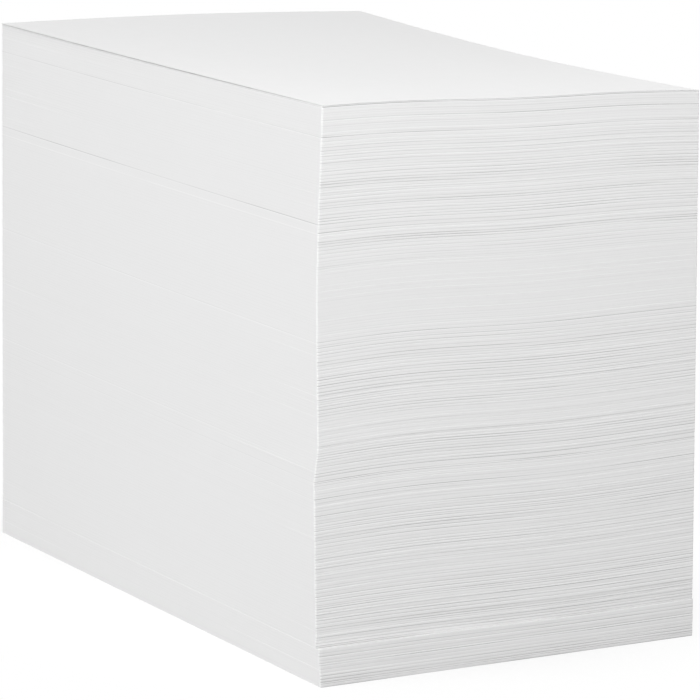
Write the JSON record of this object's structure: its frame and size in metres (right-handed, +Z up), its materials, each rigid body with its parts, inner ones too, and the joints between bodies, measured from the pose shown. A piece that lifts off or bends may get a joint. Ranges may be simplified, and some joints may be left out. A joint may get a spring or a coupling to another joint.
{
  "type": "stack of paper reams",
  "caption": "Tall pile of loose white office paper, slightly leaning and bowed, with fine ledges where its sheet edges stand out and step back.",
  "frame": {"origin": "on the table, under the middle of the lowest sheet", "axes": "+X along the short side of the sheets to the right, +Y along the long side to the back, +Z up; the short side shown in the picture faces -Y and the long side shown faces -X"},
  "size_m": [0.2152, 0.3117, 0.2639],
  "materials": {
    "ream_paper": "matt white paper, cut sheet edges",
    "sheet_paper": "matt white paper, smooth face"
  },
  "bodies": {
    "root": {"ream_1": "ream_paper", "ream_2": "ream_paper", "ream_3": "ream_paper", "ream_4": "ream_paper", "ream_5": "ream_paper", "top_sheet": "sheet_paper"}
  },
  "joints": []
}
